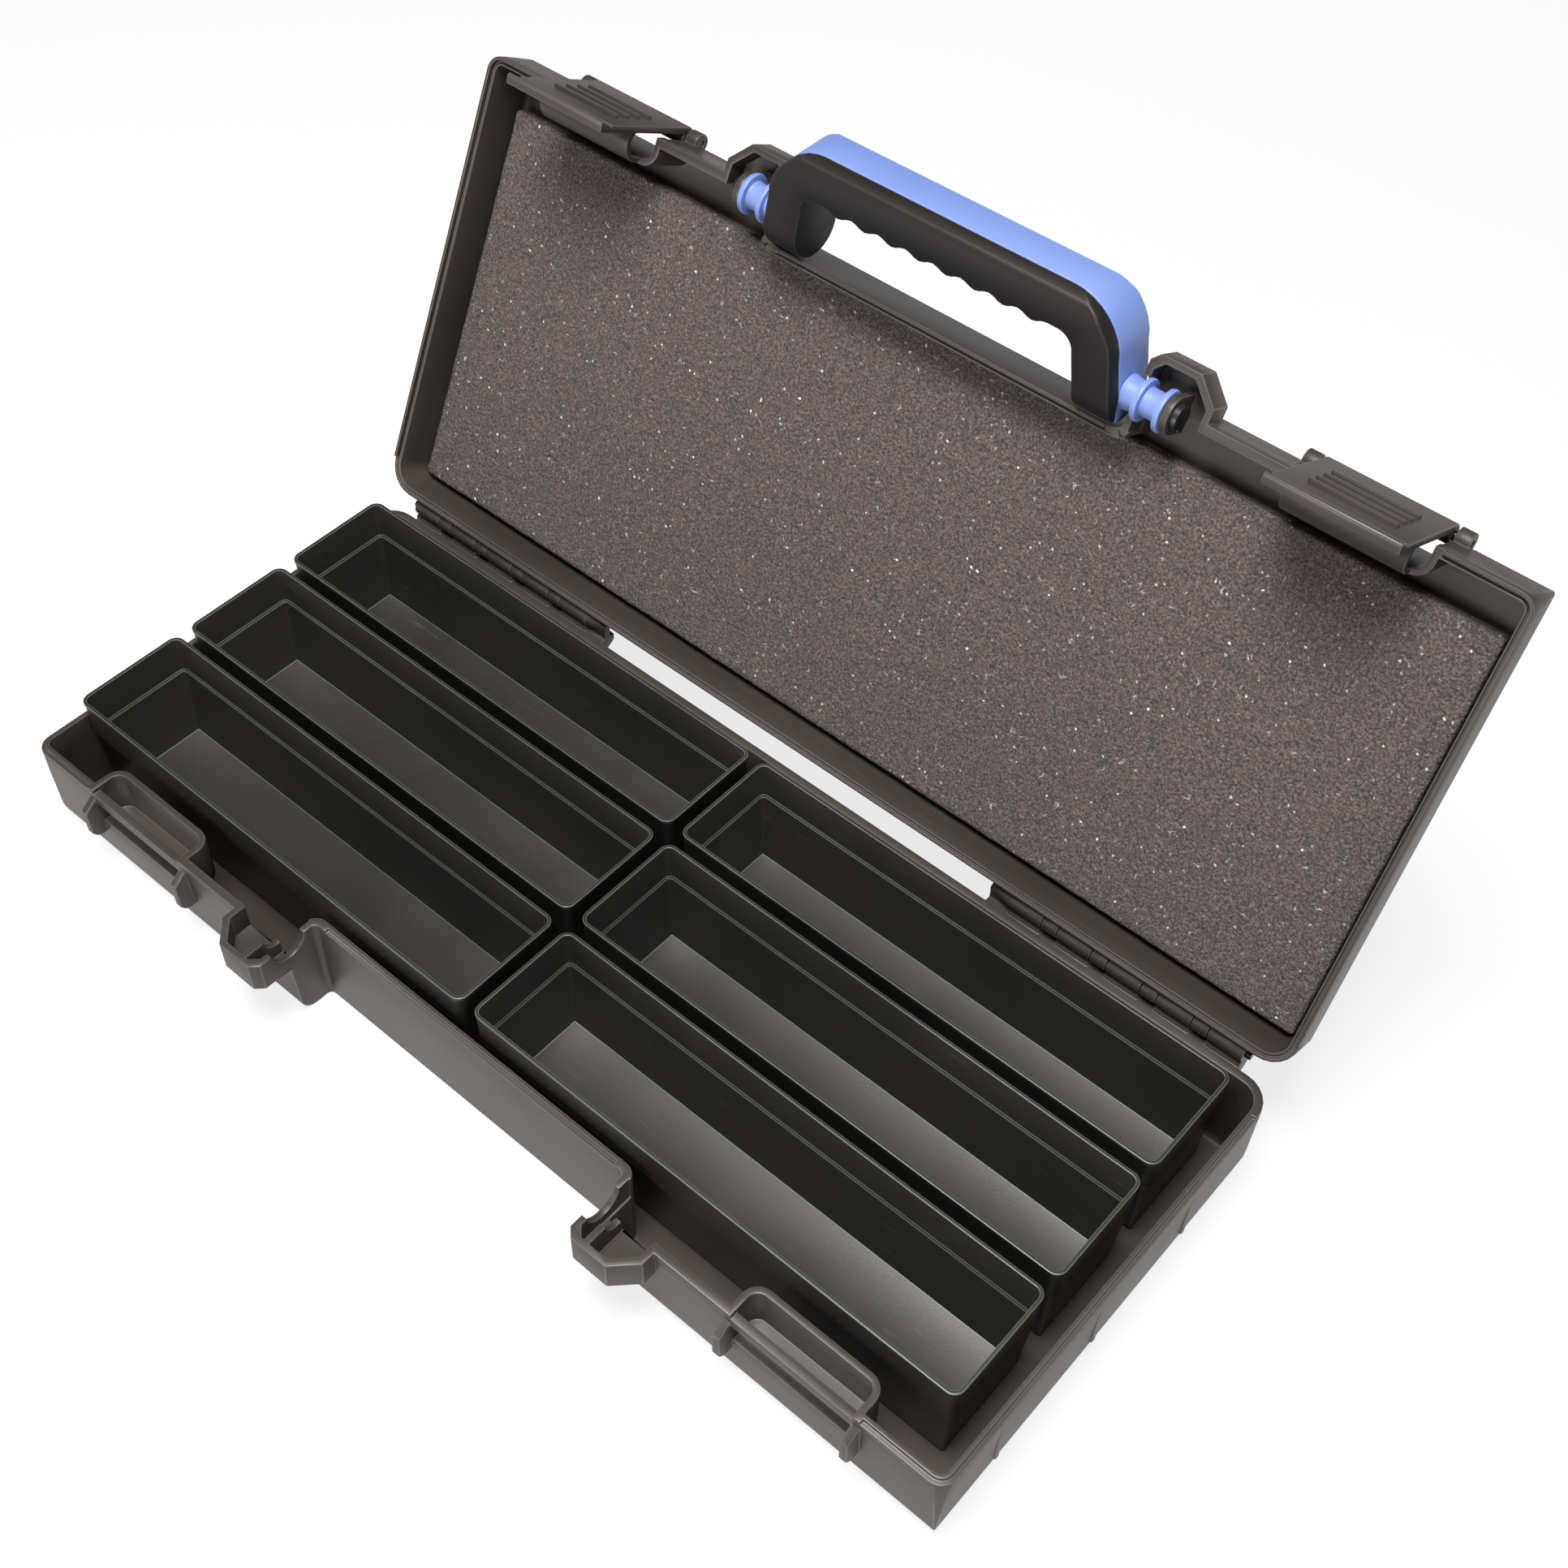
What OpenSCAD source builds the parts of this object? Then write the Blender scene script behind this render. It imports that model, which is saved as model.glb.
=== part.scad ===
// Hard tool case with a hinged lid, two latches, a folding handle and six loose bins.
// Millimetres. X runs along the length, +Y to the hinges, +Z up.
// The origin is the centre of the base's underside, and the lid stands open at its stop.

/* [Case] */
// Length of the case body
case_l = 420; // [380:5:460]
// Width of the case body, front wall to hinge wall
case_w = 174; // [168:1:190]
// Height of the base
base_h = 40; // [36:1:50]
// Height of the lid
lid_h = 22; // [20:1:30]
// Angle from closed at which the lid rests on its stop
open_angle = 116; // [90:1:120]
// Thickness of the shell walls
wall = 2.4; // [2:0.1:3]
// Thickness of the base's floor and of the lid's top
floor_t = 2.4; // [2:0.1:3]
// Width of the thickened rim
rim_w = 3.2; // [2.8:0.1:4]
// Height of the thickened rim
rim_h = 4; // [3:0.5:6]
// Radius of the two corners at the hinges
back_corner_r = 11; // [6:0.5:16]
// Radius of the two corners at the front
front_corner_r = 6; // [4.5:0.5:10]
// How far the rim stands out of the walls
rim_out = 0.4; // [0.2:0.1:0.8]
// How far a wall of the base leans in over its height
draft = 1.2; // [0.5:0.1:2.5]
// How far a wall of the lid leans in over its height
lid_draft = 0.8; // [0.3:0.1:1.5]
// Radius of the base's lower edge
base_edge_r = 6; // [3:0.5:8]
// Radius of the lid's top edge
lid_edge_r = 4; // [2:0.5:6]
// Height of the lip between base and lid
lip_h = 1.2; // [0.8:0.1:1.6]
// Gap between the two rims when the case is shut
rim_gap = 0.1; // [0.05:0.05:0.3]
// Width of the lip between base and lid
lip_w = 1.6; // [1.3:0.1:1.8]

/* [Front wall] */
// Length of the handle recess
recess_l = 145; // [135:1:160]
// Depth of the handle recess
recess_d = 14; // [13:0.5:16]
// Length of each handle boss
boss_l = 25.5; // [24:0.5:30]
// How far behind the front wall's face the handle's pivots lie
pivot_in = 2; // [1:0.5:2.5]
// How far a handle boss stands out of the front wall
boss_out = 13; // [12:0.5:16]
// Slant of a boss's outer end
boss_slant = 8; // [4:0.5:10]
// Chamfer of a boss's inner corner
boss_chamfer = 3; // [1:0.5:4]
// Height of a handle boss on the base
base_boss_h = 13; // [12:0.5:18]
// Height of a handle boss on the lid
lid_boss_h = 10.5; // [10:0.5:14]
// Distance from the end of the case to a latch pocket
pocket_end = 34; // [28:1:40]
// Length of a latch pocket
pocket_l = 47; // [42:1:52]
// Radius of a latch pocket's back corners
pocket_r = 4; // [2:0.5:5]
// Depth of a latch pocket in the base
pocket_d = 12; // [11:0.5:14]
// Height of a latch pocket in the base
pocket_h = 17; // [15:0.5:20]
// Depth of a latch recess in the lid
lid_pocket_d = 9; // [8:0.5:11]
// Height of a catch bar
catch_h = 4.5; // [3:0.5:5.5]
// Thickness of a catch bar
catch_t = 3.2; // [2.5:0.1:3.6]
// How far a catch bar lies below the rim
catch_drop = 2; // [1:0.5:3]
// Thickness of a guard fin
fin_t = 3; // [2:0.5:4]
// How far a guard fin stands out of the front wall
fin_out = 5; // [4:0.5:7]
// Height of a guard fin
fin_h = 19; // [14:0.5:24]

/* [Hinges] */
// Distance from the end of the case to a hinge
hinge_end = 14.7; // [12:0.1:18]
// Length of a base knuckle
base_knuckle_l = 13.5; // [11:0.5:14]
// Length of a lid knuckle
lid_knuckle_l = 6.7; // [5:0.1:8]
// Number of base knuckles in one hinge
base_knuckles = 5; // [3:1:5]
// Radius of a knuckle
knuckle_r = 3.4; // [3:0.1:3.6]
// Radius of a hinge pin
hinge_pin_r = 1.5; // [1.2:0.1:1.8]
// Height of the hinge axis over the rim
hinge_rise = 5; // [4.5:0.5:7]
// Length of the tapered lobe at a hinge's inner end
lobe_l = 9; // [6:0.5:12]

/* [Latches] */
// Clearance at each end of a latch
latch_gap = 1; // [0.5:0.1:2]
// Distance from a latch's axis to its lower edge
latch_drop = 49.5; // [44:0.5:54]
// Thickness of a latch plate
latch_t = 2.6; // [2:0.1:3]
// Radius of a latch barrel
latch_barrel_r = 3.2; // [2.8:0.1:3.4]
// Radius of a latch pin's boss
latch_boss_r = 3.6; // [3.2:0.1:4]
// Length of a latch pin's boss
latch_boss_l = 5; // [4:0.5:7]
// Radius of a latch pin
latch_pin_r = 1.5; // [1.2:0.1:1.8]
// Outer radius of the rolled hook
hook_r = 6.8; // [6:0.1:7.2]
// Thickness of the rolled hook
hook_t = 2; // [1.5:0.1:2.4]

/* [Handle] */
// Clearance between the handle and each end of its recess
handle_gap = 2.5; // [1.5:0.1:3]
// Thickness of the handle, front to back
handle_t = 22; // [18:0.5:22.5]
// Height of the handle over its pivots
handle_h = 32.5; // [30:0.5:37]
// Width of the handle's arms and grip
grip_w = 14; // [12:0.5:16]
// How far the arms lean in towards the grip
arm_lean = 2; // [1:0.5:6]
// Outer radius of the handle's corners
handle_r = 20; // [16:0.5:21]
// Thickness of the soft layer inside the grip
pad_t = 3; // [2:0.5:4]
// How far the hard back half reaches in front of the pivots
shell_reach = 5; // [2:0.5:7]
// Number of finger scallops
scallops = 8; // [4:1:10]
// Radius of a spool's flange
flange_r = 7.2; // [6:0.1:7.6]
// Thickness of a spool's flange
flange_t = 2; // [1.5:0.1:2.5]
// Radius of a spool's hub
hub_r = 4.8; // [4.2:0.1:5.2]
// Length of a spool's hub between its flanges
hub_l = 6; // [5:0.5:7]
// Distance from the handle's arm to its spool
spool_gap = 5; // [3:0.5:6]
// Radius of a handle pivot pin
pivot_pin_r = 2.5; // [2:0.1:3]
// Radius of a handle pivot pin's head
pivot_head_r = 4.5; // [3.5:0.1:5.5]
// Thickness of a handle pivot pin's head
pivot_head_t = 2; // [1.5:0.1:2.5]
// Thickness of the web that holds a pivot pin
web_t = 2.4; // [2:0.1:3]
// Radius of the web's round end
web_r = 6.5; // [5:0.1:7]

/* [Bins and foam] */
// Length of a bin
bin_l = 199.5; // [180:0.5:200]
// Height of a bin
bin_h = 47.5; // [42:0.5:48.5]
// Gap between two bins
bin_gap = 5; // [3:0.5:6]
// Wall of a bin
bin_wall = 1.3; // [1:0.1:1.6]
// Depth of the step inside a bin
bin_step = 15.5; // [12:0.5:20]
// How far a bin's walls lean in below the step
bin_draft = 2.4; // [1:0.2:3.2]
// How far the bins lie to the left of the middle
bins_left = 4.2; // [0:0.1:4.3]
// Space in front of the front bins
bins_front_gap = 3.4; // [2:0.2:7]
// Space behind the rear bins
bins_back_gap = 6.6; // [4:0.2:9]
// Thickness of the foam sheet
foam_t = 7.4; // [4:0.2:8]
// Gap round the foam sheet
foam_gap = 3.4; // [1:0.2:5]
// Radius of the foam sheet's corners
foam_r = 2; // [1:0.5:6]

/* [Fits] */
// Radial clearance of a pin in the piece that turns on it
run_gap = 0.05; // [0.02:0.01:0.09]
// Clearance between two knuckles
side_gap = 0.3; // [0.2:0.05:0.5]
// Clearance between a lip and its groove
lip_gap = 0.3; // [0.2:0.05:0.4]

/* [Hidden] */

SIDES = [-1, 1];
shell_colour = [0.16, 0.15, 0.15];
bin_colour = [0.2, 0.19, 0.18];
foam_colour = [0.44, 0.41, 0.4];
blue = [0.42, 0.53, 0.84];
pin_colour = [0.08, 0.08, 0.08];
round_fn = 64;
corner_steps = 6;
edge_steps = 5;
cut = 0.5;

half_l = case_l / 2;
pocket_x = half_l - pocket_end - pocket_l;
front_y = -case_w / 2;
back_y = case_w / 2;
recess_y = front_y + recess_d;
top_z = base_h + lid_h;
boss_x = recess_l / 2;
boss_front_y = front_y - boss_out;
inner_front_y = recess_y + wall;

hinge_y = back_y + knuckle_r + 0.1;
hinge_z = base_h + hinge_rise;
knuckle_pitch = base_knuckle_l + lid_knuckle_l;
hinge_l = base_knuckles * knuckle_pitch - lid_knuckle_l;
hinge_x = half_l - hinge_end - hinge_l;
lobe_r = 1.4;

pivot_y = front_y + pivot_in;
pivot_z = base_h;

latch_y = front_y + 0.5;
latch_z = top_z - 2.5;
latch_l = pocket_l - 2 * latch_gap;
latch_x = pocket_x + pocket_l / 2;
plate_y = front_y - latch_t - 0.7;
catch_top = base_h - catch_drop;
hook_y = front_y + catch_t / 2 + 1.8;
hook_z = catch_top - catch_h / 2 - 0.6;

arm_x = boss_x - handle_gap;
spool_x = arm_x + spool_gap;
spool_end = spool_x + 2 * flange_t + hub_l;
web_x = spool_end + 0.4;
head_x = web_x + web_t + 0.05;
slot_w = 1.6;
slot_d = 0.8;
web_top = base_h + lid_boss_h;
cradle_t = 2.4;

bins_x = -bins_left;
bin_w = (back_y - rim_w - bins_back_gap - inner_front_y - bins_front_gap - 2 * bin_gap) / 3;
bins_y = inner_front_y + bins_front_gap + 1.5 * bin_w + bin_gap;
bin_pitch_x = bin_l + bin_gap;
bin_pitch_y = bin_w + bin_gap;

// The case's outline seen from above, counter-clockwise, with a radius for each corner
body_corners = [[-half_l, front_y], [-boss_x, front_y], [-boss_x, recess_y], [boss_x, recess_y],
                [boss_x, front_y], [half_l, front_y], [half_l, back_y], [-half_l, back_y]];
body_radii = [front_corner_r, 1.5, 2, 2, 1.5, front_corner_r, back_corner_r, back_corner_r];

function unit(v) = v / norm(v);
function inward(a, b) = let (d = unit(b - a)) [-d[1], d[0]];
function turns_left(a, b, c) = (b[0] - a[0]) * (c[1] - b[1]) - (b[1] - a[1]) * (c[0] - b[0]) > 0;

// One rounded corner at b of a square-cornered outline that is moved in by inset
function corner(a, b, c, r, inset) =
    let (n1 = inward(a, b), n2 = inward(b, c), left = turns_left(a, b, c))
    let (s = left ? 1 : -1, rr = max(0.4, r - s * inset), v = b + (n1 + n2) * inset)
    let (m = v + s * (n1 + n2) * rr)
    [for (i = [0:corner_steps])
        let (t = 90 * i / corner_steps) m - s * rr * (n1 * cos(t) + n2 * sin(t))];

function outline(points, radii, inset) =
    let (n = len(points))
    [for (i = [0:n - 1])
        each corner(points[(i + n - 1) % n], points[i], points[(i + 1) % n], radii[i], inset)];

function box_corners(x0, y0, x1, y1) = [[x0, y0], [x1, y0], [x1, y1], [x0, y1]];

// A closed solid whose outline changes with its height, levels from low to high
module loft(points, radii, levels) {
    n = len(points) * (corner_steps + 1);
    m = len(levels);
    vertices = [for (l = levels) for (p = outline(points, radii, l[0])) [p[0], p[1], l[1]]];
    sides = [for (j = [0:m - 2]) for (i = [0:n - 1])
        let (k = (i + 1) % n, a = j * n, b = a + n)
        each [[a + i, b + i, b + k], [a + i, b + k, a + k]]];
    polyhedron(vertices, concat([[for (i = [0:n - 1]) i]], sides, [[for (i = [n - 1:-1:0]) (m - 1) * n + i]]));
}

// The section of a tub across its walls: a cap at z_cap with rounded edges, walls that lean out to the
// rim, and past z_step a point well outside, where the case's outline bounds the tub instead
function tub_section(half, z_cap, z_step, z_end, lean, r, out) =
    let (s = z_end > z_cap ? 1 : -1)
    let (side = concat(
        [for (i = [0:edge_steps]) let (t = 90 * i / edge_steps)
            [half - lean - r + r * sin(t), z_cap + s * r * (1 - cos(t))]],
        [[half, z_step], [half + out, z_step + s * 0.01], [half + out, z_end]]))
    concat(side, [for (i = [len(side) - 1:-1:0]) [-side[i][0], side[i][1]]]);

// A straight-sided block of the case's outline, moved in by inset
module outline_block(inset, z0, z1) {
    translate([0, 0, min(z0, z1)]) linear_extrude(abs(z1 - z0)) polygon(outline(body_corners, body_radii, inset));
}

// A tub with leaning walls, its outline moved in by inset and its walls by step more below the rim
module tub(inset, step, z_cap, z_step, z_end, lean, r) {
    s = z_end > z_cap ? 1 : -1;
    out = step + 1;
    intersection() {
        outline_block(inset, z_cap - s, z_end - s);
        x_profile(-half_l - 1, half_l + 1, tub_section(back_y - inset - step, z_cap, z_step, z_end, lean, r, out));
        translate([0, back_y + 1, 0]) rotate([90, 0, 0]) linear_extrude(case_w + 2)
            polygon(tub_section(half_l - inset - step, z_cap, z_step, z_end, lean, r, out));
    }
}

// A band along the rim between two insets, left out at the hinges and at the latches and bosses
module rim_band(outer, inner, z0, z1, back_too) {
    translate([0, 0, z0]) linear_extrude(z1 - z0) difference() {
        polygon(outline(body_corners, body_radii, outer));
        polygon(outline(body_corners, body_radii, inner));
        if (!back_too) translate([-half_l - 5, back_y - back_corner_r - 1]) square([case_l + 10, back_corner_r + 6]);
        for (side = SIDES) mirror([side < 0 ? 1 : 0, 0])
            translate([boss_x - 5, front_y - 20]) square([pocket_x + pocket_l + 8 - boss_x, inner_front_y - front_y + 20]);
    }
}

// A latch pocket seen from above with its back corners rounded, grown by out
module pocket_block(depth, out, z0, z1) {
    translate([0, 0, z0]) linear_extrude(z1 - z0)
        polygon(outline(box_corners(pocket_x, front_y - 4, pocket_x + pocket_l, front_y + depth),
                        [0.4, 0.4, pocket_r, pocket_r], -out));
}

module x_rod(x0, x1, y, z, r) {
    translate([x0, y, z]) rotate([0, 90, 0]) cylinder(r = r, h = x1 - x0, $fn = round_fn);
}

// A profile drawn in Y and Z, drawn out along X
module x_profile(x0, x1, points) {
    translate([x0, 0, 0]) rotate([90, 0, 90]) linear_extrude(x1 - x0) polygon(points);
}

module block(x0, y0, z0, x1, y1, z1) {
    translate([x0, y0, z0]) cube([x1 - x0, y1 - y0, z1 - z0]);
}

module mirrored(side) {
    scale([side, 1, 1]) children();
}

module both() {
    for (side = SIDES) mirror([side < 0 ? 1 : 0, 0, 0]) children();
}

// Moves a piece that is drawn closed to the open lid's place
module lid_place() {
    translate([0, hinge_y, hinge_z]) rotate([-open_angle, 0, 0]) translate([0, -hinge_y, -hinge_z]) children();
}

// A round end wall round a pin, with straight sides up to z_top
module pin_web(x0, t, z_top) {
    x_rod(x0, x0 + t, pivot_y, pivot_z, web_r);
    block(x0, pivot_y - web_r, pivot_z, x0 + t, pivot_y + web_r, z_top);
}

module base_outside() {
    difference() {
        tub(0, rim_out, 0, base_h - rim_h, base_h + 1, draft, base_edge_r);
        both() pocket_block(pocket_d, 0, base_h - pocket_h, base_h + 1);
    }
    both() {
        boss_block(0, base_h - base_boss_h, base_h);
        for (x = [pocket_x - fin_t, pocket_x + pocket_l])
            x_profile(x, x + fin_t, fin_points());
    }
}

function fin_points() =
    let (z1 = base_h - rim_h, z0 = z1 - fin_h, y = front_y)
    [[y + 1, z1], [y - fin_out, z1 - fin_out], [y - fin_out, z0 + 3], [y - fin_out + 1.5, z0 + 1],
     [y - fin_out + 3, z0], [y + draft, z0], [y + draft + 1, z0 + 2]];

module base_inside() {
    difference() {
        tub(rim_w, -0.3, floor_t, base_h - rim_h / 2, base_h + 2, draft, base_edge_r - wall - 1);
        both() pocket_block(pocket_d, wall, base_h - pocket_h - wall, base_h + 3);
    }
    both() boss_hollow(base_h - base_boss_h + wall, base_h + 1);
}

// A handle boss seen from above, moved in by inset: its outer end slants back to the front wall
function boss_points(inset) =
    let (x0 = boss_x + inset, x1 = boss_x + boss_l - inset, y0 = boss_front_y + inset, y1 = recess_y - inset * 0.2)
    [[x0, y1], [x0, y0 + boss_chamfer], [x0 + boss_chamfer, y0], [x1 - boss_slant + inset * 0.4, y0],
     [x1, y0 + boss_slant - inset * 0.4], [x1, y1]];

module boss_block(inset, z0, z1) {
    translate([0, 0, z0]) linear_extrude(z1 - z0) polygon(boss_points(inset));
}

// The hollow of a handle boss, open to the case's inside, with the half-round way in for the spool
module boss_hollow(z0, z1) {
    boss_block(wall, z0, z1);
    x_rod(boss_x - 1, boss_x + wall + 1, pivot_y, pivot_z, hub_r + 2.2);
}

module rim_shoulder() {
    rim_band(-2, lip_w, base_h - lip_h, base_h + 1, false);
}

module catch_bar() {
    block(pocket_x - cut, front_y, catch_top - catch_h, pocket_x + pocket_l + cut, front_y + catch_t, catch_top);
}

module cradle() {
    x0 = spool_x + flange_t + (hub_l - cradle_t) / 2;
    difference() {
        block(x0, boss_front_y + wall / 2, base_h - base_boss_h + 1, x0 + cradle_t, front_y + rim_w, base_h);
        x_rod(x0 - 1, x0 + cradle_t + 1, pivot_y, pivot_z, hub_r + 0.5);
    }
}

module locating_ribs() {
    for (y = [-1, 0, 1] * bin_pitch_y)
        translate([half_l - rim_w - 0.6, bins_y + y - 13, floor_t + 6]) cube([rim_w, 2, base_h - 12]);
}

module base_knuckle_arm(x0, x1) {
    y = hinge_y;
    z = base_h;
    x_profile(x0, x1, [[back_y - 1, z - 8], [back_y - draft * 0.2, z - 8], [y + knuckle_r, z - 3], [y + knuckle_r, hinge_z],
                       [y, hinge_z], [back_y + 0.3, z + 1], [back_y + 0.3, z - 1], [back_y - 1, z - 1]]);
}

// The shelf under the knuckles, and the tapered lobe at the hinge's inner end
module hinge_shelf() {
    z = base_h;
    x0 = hinge_x - lobe_l;
    x_profile(x0, hinge_x + hinge_l, [[back_y - 1, z - 8], [back_y - draft * 0.2, z - 8], [hinge_y + knuckle_r, z - 3],
                                      [hinge_y + knuckle_r, z], [back_y - 1, z]]);
    translate([x0, hinge_y, hinge_z]) rotate([0, 90, 0])
        cylinder(r1 = lobe_r, r2 = knuckle_r, h = lobe_l + 0.2, $fn = round_fn);
    block(x0, hinge_y - lobe_r, z - 1, hinge_x + 1, hinge_y + lobe_r, hinge_z);
}

module base_shell() {
    color(shell_colour) difference() {
        union() {
            difference() {
                base_outside();
                base_inside();
                rim_shoulder();
            }
            both() {
                catch_bar();
                cradle();
                locating_ribs();
                hinge_shelf();
                for (i = [0:base_knuckles - 1]) {
                    x0 = hinge_x + i * knuckle_pitch;
                    x_rod(x0, x0 + base_knuckle_l, hinge_y, hinge_z, knuckle_r);
                    base_knuckle_arm(x0, x0 + base_knuckle_l);
                }
            }
        }
        both() x_rod(hinge_x, hinge_x + hinge_l + 1, hinge_y, hinge_z, hinge_pin_r + 0.01);
    }
}

module lid_outside() {
    difference() {
        tub(0, rim_out, top_z, base_h + rim_h, base_h + rim_gap - 1, lid_draft, lid_edge_r);
        both() pocket_block(lid_pocket_d, 0, base_h - 1, top_z + 1);
    }
    both() boss_block(0, base_h + rim_gap, base_h + lid_boss_h);
}

module lid_inside() {
    difference() {
        tub(rim_w, -0.3, top_z - floor_t, base_h + rim_h / 2, base_h - 2, lid_draft, lid_edge_r - 2);
        both() pocket_block(lid_pocket_d, wall, base_h - 3, top_z);
    }
    both() boss_hollow(base_h - 1, base_h + lid_boss_h - wall);
}

module lid_lip() {
    rim_band(0, lip_w - lip_gap, base_h - lip_h + rim_gap, base_h + 0.5, false);
}

module rim_groove() {
    rim_band(lip_w - lip_gap, rim_w - 0.7, base_h - 1, base_h + 1, true);
}

module lid_knuckle_arm(x0, x1) {
    y = hinge_y;
    z = hinge_z;
    x_profile(x0, x1, [[back_y - 1.5, z + 4], [back_y, z], [y, z], [y + knuckle_r, z], [y + knuckle_r, z + 3],
                       [back_y, z + 9], [back_y - 1.5, z + 9]]);
}

module lid_shell() {
    color(shell_colour) lid_place() difference() {
        union() {
            difference() {
                lid_outside();
                lid_inside();
                rim_groove();
            }
            lid_lip();
            both() {
                pin_web(web_x, web_t, web_top - 1);
                for (x = [pocket_x - latch_boss_l, pocket_x + pocket_l])
                    x_rod(x, x + latch_boss_l, latch_y, latch_z, latch_boss_r);
                for (i = [0:base_knuckles - 2]) {
                    x0 = hinge_x + i * knuckle_pitch + base_knuckle_l + side_gap;
                    x1 = x0 + lid_knuckle_l - 2 * side_gap;
                    x_rod(x0, x1, hinge_y, hinge_z, knuckle_r);
                    lid_knuckle_arm(x0, x1);
                }
            }
        }
        both() {
            x_rod(hinge_x - 1, hinge_x + hinge_l + 1, hinge_y, hinge_z, hinge_pin_r + run_gap);
            x_rod(pocket_x - latch_boss_l - 1, pocket_x + pocket_l + latch_boss_l + 1, latch_y, latch_z,
                  latch_pin_r + 0.01);
            x_rod(web_x - 1, web_x + web_t + 1, pivot_y, pivot_z, pivot_pin_r + 0.01);
        }
    }
}

module foam_liner() {
    z1 = top_z - floor_t;
    x1 = half_l - wall - foam_gap;
    color(foam_colour) lid_place()
        loft(box_corners(-x1, inner_front_y + foam_gap / 2, x1, back_y - wall - foam_gap),
             [foam_r, foam_r, foam_r, foam_r], [[0, z1 - foam_t], [0, z1]]);
}

module bin_solid() {
    points = box_corners(-bin_l / 2, -bin_w / 2, bin_l / 2, bin_w / 2);
    radii = [4, 4, 4, 4];
    step_z = bin_h - bin_step;
    difference() {
        loft(points, radii, [[1.4 + bin_draft, 0], [0.5 + bin_draft, 1.2], [1, step_z - 1], [0.3, step_z],
                             [0.3, bin_h - 1.5], [0, bin_h - 1.2], [0, bin_h]]);
        loft(points, radii, [[bin_wall + bin_draft + 0.8, bin_wall], [1 + bin_wall, step_z - 0.8],
                             [0.3 + bin_wall, step_z], [bin_wall, bin_h + 1]]);
    }
}

// column is -1 at the left and 1 at the right, row is -1 at the front and 1 at the hinges
module bin(column, row) {
    color(bin_colour)
        translate([bins_x + column * bin_pitch_x / 2, bins_y + row * bin_pitch_y, floor_t]) bin_solid();
}

// The handle's outline from the front, as far in as inset, with straight arms down to z0
function bow_points(inset, z0, r) =
    let (x0 = arm_x - inset, x1 = x0 - arm_lean, z1 = handle_h - inset)
    let (right = concat([[x0, z0], [x0, 0]],
        [for (i = [0:8]) let (t = 90 * i / 8) [x1 - r * (1 - cos(t)), z1 - r * (1 - sin(t))]]))
    concat(right, [for (i = [len(right) - 1:-1:0]) [-right[i][0], right[i][1]]]);

grip_top = handle_h - grip_w;
scallop_l = 11;
scallop_d = 0.9;

// The soft layer's inner edge, waved along the grip
function waved(z0) =
    let (x0 = arm_x - grip_w, x1 = x0 - arm_lean, r = 6, n = scallops * 6, reach = scallops * scallop_l / 2)
    let (right = concat([[x0, z0], [x0, 0]],
        [for (i = [0:6]) let (t = 90 * i / 6) [x1 - r * (1 - cos(t)), grip_top - r * (1 - sin(t))]]))
    let (wave = [for (i = [0:n]) let (x = reach * (1 - 2 * i / n))
        [x, grip_top - scallop_d * (1 - cos(360 * i / 6))]])
    concat(right, wave, [for (i = [len(right) - 1:-1:0]) [-right[i][0], right[i][1]]]);

// Rounds the handle's ends about the pivots and its top corners
module handle_side() {
    r = handle_t / 2;
    translate([-case_l / 2, 0, 0]) rotate([90, 0, 90]) linear_extrude(case_l) union() {
        circle(r = r, $fn = round_fn);
        polygon([[-r, 0], [r, 0], [r, handle_h - 5], [r - 1.5, handle_h - 1.5], [r - 5, handle_h],
                 [-r + 6, handle_h], [-r + 2, handle_h - 2], [-r, handle_h - 6]]);
    }
}

module bow_slab(y0, y1, outer_inset, outer_r, scalloped) {
    z0 = -handle_t / 2;
    translate([0, y1, 0]) rotate([90, 0, 0]) linear_extrude(y1 - y0) difference() {
        polygon(bow_points(outer_inset, z0, outer_r));
        if (scalloped) polygon(waved(z0 - 1));
        else polygon(bow_points(grip_w - pad_t, z0 - 1, 8));
    }
}

module spool() {
    difference() {
        union() {
            translate([arm_x - cut, 0, 0]) rotate([0, 90, 0])
                cylinder(r1 = hub_r + 1.2, r2 = hub_r, h = spool_x - arm_x + 1, $fn = round_fn);
            x_rod(spool_x, spool_x + flange_t, 0, 0, flange_r);
            x_rod(spool_x, spool_end, 0, 0, hub_r);
            x_rod(spool_end - flange_t, spool_end, 0, 0, flange_r);
        }
        block(arm_x - 2, -handle_t, -handle_t, arm_x, -shell_reach, handle_t);
    }
}

module handle_place() {
    lid_place() translate([0, pivot_y, pivot_z]) rotate([open_angle, 0, 0]) children();
}

module handle_shell() {
    color(blue) handle_place() difference() {
        union() {
            intersection() {
                bow_slab(-shell_reach, handle_t / 2, 0, handle_r, false);
                handle_side();
            }
            both() spool();
        }
        both() x_rod(spool_x - 2, spool_end + 1, 0, 0, pivot_pin_r + run_gap);
    }
}

module handle_grip() {
    color(shell_colour) handle_place() difference() {
        intersection() {
            bow_slab(-handle_t / 2, handle_t / 2, 0, handle_r, true);
            handle_side();
        }
        difference() {
            block(-half_l, -shell_reach, -handle_t, half_l, handle_t, handle_h + 1);
            translate([0, handle_t + 1, 0]) rotate([90, 0, 0]) linear_extrude(handle_t + shell_reach + 2)
                polygon(bow_points(grip_w - pad_t, -handle_t - 1, 8));
        }
    }
}

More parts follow.
